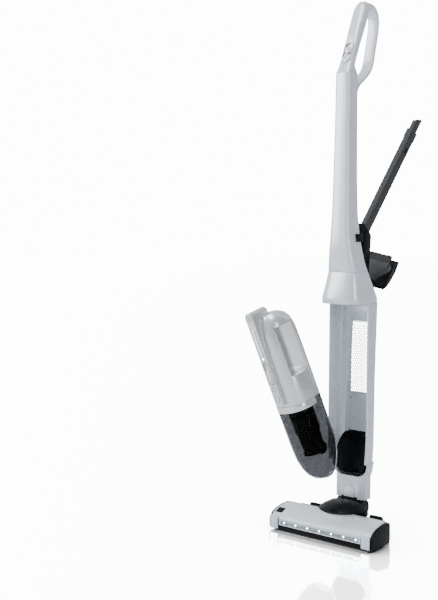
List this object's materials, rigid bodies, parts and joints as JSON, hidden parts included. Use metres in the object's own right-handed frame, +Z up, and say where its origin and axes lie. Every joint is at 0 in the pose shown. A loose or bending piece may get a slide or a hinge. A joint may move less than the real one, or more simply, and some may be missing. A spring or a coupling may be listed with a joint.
{
  "type": "cordless stick vacuum",
  "caption": "Upright cordless stick vacuum with its handheld unit swung out of the bay, a powered floor head, a handle loop and clipped-on tools.",
  "frame": {"origin": "on the floor under the middle of the floor head, on the sole plate's flat underside", "axes": "+Z up, +X to the right seen from the front, front of the floor head towards -Y"},
  "size_m": [0.2871, 0.4395, 1.16],
  "materials": {
    "pearl": "gloss",
    "silver": "satin",
    "black": "satin",
    "charcoal": "matte",
    "rubber": "matte",
    "smoke": "translucent",
    "pad": "satin",
    "light": "clear",
    "steel": "brushed",
    "gold": "polished",
    "board": "matte",
    "bristle": "matte"
  },
  "bodies": {
    "floor_head": {"head_cover": "pearl", "head_chassis": "black", "sole_plate": "charcoal", "end_cap_left": "black", "end_cap_right": "black", "corner_pad_left": "pad", "corner_pad_right": "pad", "led_lens": "light", "led_board": "board", "brush_motor": "steel", "drive_belt": "rubber", "wheel_axle_left": "steel", "wheel_axle_right": "steel"},
    "brush_roll": {"brush_roll_core": "black", "roll_bristles": "bristle"},
    "motor_shaft": {"motor_pulley": "steel"},
    "wheel_left": {"rear_wheel_left": "rubber"},
    "wheel_right": {"rear_wheel_right": "rubber"},
    "neck": {"neck_turntable": "black", "pivot_pin": "steel", "pivot_disc_left": "black", "pivot_disc_right": "black"},
    "stick": {"pivot_yoke": "black", "column_shell": "pearl", "suction_tube": "rubber", "docking_socket": "black", "bay_shell": "pearl", "grille_panel": "pearl", "upper_housing": "pearl", "bay_ceiling": "pearl", "contact_block": "black", "contact_bar": "gold", "battery_pack": "charcoal", "control_board": "board", "charging_socket": "black", "stem_shell": "pearl", "grip": "pearl", "switch_bezel": "steel", "handle_loop": "pearl", "accessory_clip": "black"},
    "head_release": {"head_release_button": "pearl"},
    "power_switch": {"power_slider": "pearl"},
    "boost_switch": {"boost_button": "pearl"},
    "handheld": {"motor_casing": "silver", "suction_motor": "steel", "front_bar": "silver", "charge_window": "light"},
    "fan": {"suction_fan": "charcoal"},
    "unit_release": {"unit_release_button": "silver"},
    "bin_release": {"container_release_button": "silver"},
    "speed_switch": {"speed_slider": "silver"},
    "container": {"dust_container": "smoke", "container_collar": "silver", "filter_cartridge": "black"},
    "flap": {"inlet_flap": "rubber"},
    "sleeve": {"crevice_sleeve": "charcoal"},
    "blade": {"crevice_blade": "charcoal"},
    "brush": {"brush_body": "charcoal", "brush_bristles": "bristle", "brush_frame": "black"}
  },
  "joints": [
    {"name": "roll_spin", "type": "hinge", "parent": "floor_head", "child": "brush_roll", "pos_m": [0, -0.042, 0.02], "axis": [1, 0, 0], "continuous": true},
    {"name": "motor_spin", "type": "hinge", "parent": "floor_head", "child": "motor_shaft", "pos_m": [0, 0.019, 0.022], "axis": [1, 0, 0], "continuous": true},
    {"name": "wheel_left_spin", "type": "hinge", "parent": "floor_head", "child": "wheel_left", "pos_m": [-0.078, 0.052, 0.014], "axis": [1, 0, 0], "continuous": true},
    {"name": "wheel_right_spin", "type": "hinge", "parent": "floor_head", "child": "wheel_right", "pos_m": [0.078, 0.052, 0.014], "axis": [1, 0, 0], "continuous": true},
    {"name": "neck_swivel", "type": "hinge", "parent": "floor_head", "child": "neck", "pos_m": [0, 0.031, 0.04], "axis": [0, 0, 1], "range_deg": [-25, 25]},
    {"name": "stick_recline", "type": "hinge", "parent": "neck", "child": "stick", "pos_m": [0, 0.064, 0.046], "axis": [-1, 0, 0], "range_deg": [0, 75]},
    {"name": "head_release_press", "type": "slide", "parent": "stick", "child": "head_release", "axis": [0, 1, 0], "range_m": [0, 0.0018], "stiffness_N_per_m": 600},
    {"name": "power_slide", "type": "slide", "parent": "stick", "child": "power_switch", "axis": [0, 0.3955, 0.9184], "range_m": [0, 0.006]},
    {"name": "boost_press", "type": "slide", "parent": "stick", "child": "boost_switch", "axis": [0, 0.9184, -0.3955], "range_m": [0, 0.0012], "stiffness_N_per_m": 600},
    {"name": "handheld_dock", "type": "hinge", "parent": "stick", "child": "handheld", "pos_m": [-0.05, -0.054, -0.042], "axis": [-0.6903, 0.6353, 0.3462], "range_deg": [0, 7]},
    {"name": "fan_spin", "type": "hinge", "parent": "handheld", "child": "fan", "pos_m": [-0.07337, -0.05012, 0.3034], "axis": [-0.2435, -0.2328, 0.9415], "continuous": true},
    {"name": "unit_release_press", "type": "slide", "parent": "handheld", "child": "unit_release", "axis": [0.0949, 0.9604, 0.262], "range_m": [0, 0.0008], "stiffness_N_per_m": 600},
    {"name": "bin_release_press", "type": "slide", "parent": "handheld", "child": "bin_release", "axis": [0.0949, 0.9604, 0.262], "range_m": [0, 0.0008], "stiffness_N_per_m": 600},
    {"name": "speed_slide", "type": "slide", "parent": "handheld", "child": "speed_switch", "axis": [-0.2435, -0.2328, 0.9415], "range_m": [0, 0.015]},
    {"name": "container_pull", "type": "slide", "parent": "handheld", "child": "container", "axis": [-0.2435, -0.2328, 0.9415], "range_m": [-0.045, 0]},
    {"name": "sleeve_pull", "type": "slide", "parent": "stick", "child": "sleeve", "axis": [0.1027, 0.5736, 0.8127], "range_m": [0, 0.08]},
    {"name": "blade_pull", "type": "slide", "parent": "sleeve", "child": "blade", "axis": [0.1027, 0.5736, 0.8127], "range_m": [0, 0.1]},
    {"name": "brush_pull", "type": "slide", "parent": "stick", "child": "brush", "axis": [0.1027, 0.5736, 0.8127], "range_m": [0, 0.06]},
    {"name": "flap_swing", "type": "hinge", "parent": "container", "child": "flap", "pos_m": [-0.04214, 0.00237, 0.19903], "axis": [-0.9652, 0.1532, -0.2118], "range_deg": [0, 25], "stiffness_Nm_per_rad": 0.02}
  ],
  "couplings": [
    {"joint": "motor_spin", "follows": "roll_spin", "ratio": 1.5686}
  ]
}
